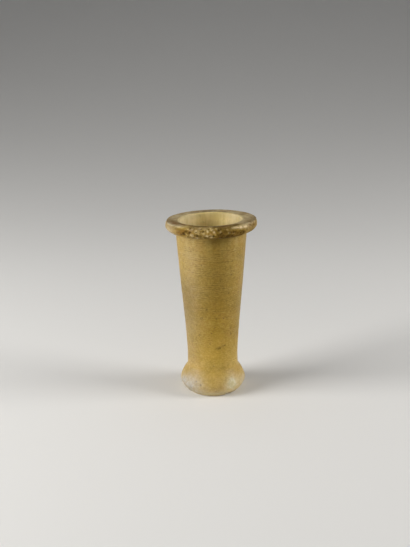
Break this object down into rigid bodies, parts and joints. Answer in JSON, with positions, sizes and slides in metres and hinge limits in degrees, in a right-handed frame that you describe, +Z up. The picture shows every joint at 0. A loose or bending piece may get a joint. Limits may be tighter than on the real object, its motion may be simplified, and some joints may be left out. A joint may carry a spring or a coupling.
{
  "type": "kohl jar",
  "caption": "Slender tapering stone cosmetic jar with a broad flat lip, a bored hollow and a flared, rounded foot.",
  "frame": {"origin": "centre of the flat underside of the foot", "axes": "+Z up along the jar's axis, out of its mouth; -Y is the side that the picture shows, with +X to its right"},
  "size_m": [0.0456, 0.0456, 0.09],
  "materials": {
    "calcite": "satin"
  },
  "bodies": {
    "root": {"jar": "calcite"}
  },
  "joints": []
}
